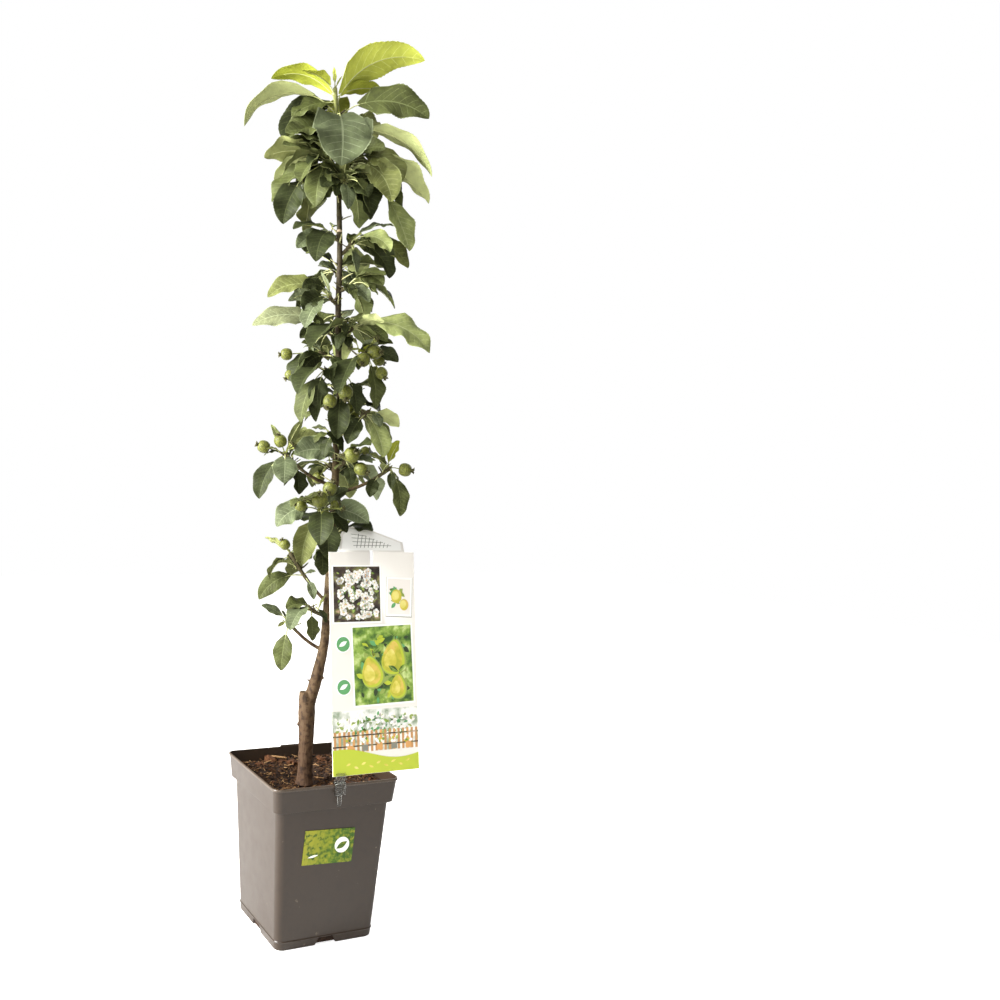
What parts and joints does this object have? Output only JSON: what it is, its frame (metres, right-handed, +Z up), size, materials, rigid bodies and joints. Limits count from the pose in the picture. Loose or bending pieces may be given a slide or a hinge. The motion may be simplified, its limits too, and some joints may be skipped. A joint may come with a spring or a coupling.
{
  "type": "dwarf apple tree in a pot",
  "caption": "Slim column-grown dwarf fruit tree with green young fruit, grafted stem, square nursery pot filled with compost, and a picture label clipped to the rim.",
  "frame": {"origin": "middle of the pot's flat underside", "axes": "+Z up along the tree; -Y out of the pot wall that carries the sticker and the clip; +X along that wall"},
  "size_m": [0.2485, 0.1916, 1.2495],
  "materials": {
    "pot_plastic": "smooth injection-moulded taupe",
    "compost": "loose bark and peat",
    "bark": "thin bark, brown-grey below and purplish brown above",
    "foliage": "living leaves, twigs and small green fruit",
    "label_board": "printed stiff plastic sheet",
    "clip_plastic": "clear moulded plastic",
    "sticker_paper": "coated printed paper"
  },
  "bodies": {
    "root": {"pot": "pot_plastic", "compost": "compost", "trunk": "bark", "label_card": "label_board", "label_clip": "clip_plastic", "pot_sticker": "sticker_paper", "crown_tip": "foliage", "crown_left": "foliage", "crown_right": "foliage", "crown_front": "foliage", "crown_back": "foliage", "upper_left": "foliage", "upper_right": "foliage", "upper_back": "foliage", "middle_right": "foliage", "middle_left": "foliage", "long_left": "foliage", "long_right": "foliage", "middle_back": "foliage", "bough_right_cluster": "bark", "right_cluster": "foliage", "left_cluster": "foliage", "front_fruit": "foliage", "bough_left_drop": "bark", "left_drop": "foliage", "high_back": "foliage", "centre_front": "foliage", "bough_right_drop": "bark", "right_drop": "foliage", "centre_fruit": "foliage", "bough_left_spur": "bark", "left_spur": "foliage", "bough_right_spur": "bark", "right_spur": "foliage", "centre_back": "foliage", "low_fruit": "foliage", "low_front": "foliage", "low_back": "foliage", "bough_lower_left": "bark", "lower_left": "foliage", "lower_rosette": "foliage", "bough_lowest_left": "bark", "lowest_left": "foliage"}
  },
  "joints": []
}
